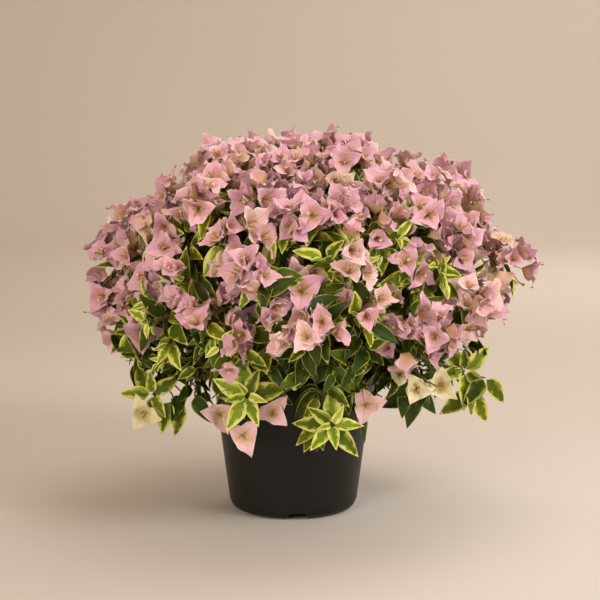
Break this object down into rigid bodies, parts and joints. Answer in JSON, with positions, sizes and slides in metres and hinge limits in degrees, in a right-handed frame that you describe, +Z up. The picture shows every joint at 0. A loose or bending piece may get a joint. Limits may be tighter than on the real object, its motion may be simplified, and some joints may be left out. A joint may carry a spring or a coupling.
{
  "type": "potted bougainvillea shrub",
  "caption": "Low, wide dome of cream-edged variegated leaves and pale pink bracts on a short branching stem, growing in a round black nursery pot.",
  "frame": {"origin": "centre of the pot's flat underside", "axes": "+Z up along the pot's axis, +X to the right and +Y to the back as the plant is seen from its front"},
  "size_m": [0.7262, 0.6616, 0.5996],
  "materials": {
    "pot": "matt black moulded plastic with a soft sheen",
    "soil": "moist peat and bark potting mix",
    "bark": "grey-brown furrowed bark",
    "foliage": "green leaves with cream edges and papery pink bracts"
  },
  "bodies": {
    "root": {"bough_01": "bark", "bough_02": "bark", "bough_03": "bark", "bough_04": "bark", "bough_05": "bark", "bough_06": "bark", "bough_07": "bark", "bough_08": "bark", "bough_09": "bark", "bough_10": "bark", "bough_11": "bark", "bough_12": "bark", "bough_13": "bark", "bough_back_left": "bark", "bough_back_right": "bark", "bough_front_left": "bark", "bough_front_right": "bark", "bough_left": "bark", "bough_lower_right": "bark", "bough_right": "bark", "foliage_01": "foliage", "foliage_02": "foliage", "foliage_03": "foliage", "foliage_04": "foliage", "foliage_05": "foliage", "foliage_06": "foliage", "foliage_07": "foliage", "foliage_08": "foliage", "foliage_09": "foliage", "foliage_10": "foliage", "foliage_11": "foliage", "foliage_12": "foliage", "foliage_13": "foliage", "pot": "pot", "soil": "soil", "spray_back_left": "foliage", "spray_back_right": "foliage", "spray_front_left": "foliage", "spray_front_right": "foliage", "spray_left": "foliage", "spray_lower_right": "foliage", "spray_right": "foliage", "trunk": "bark"}
  },
  "joints": []
}
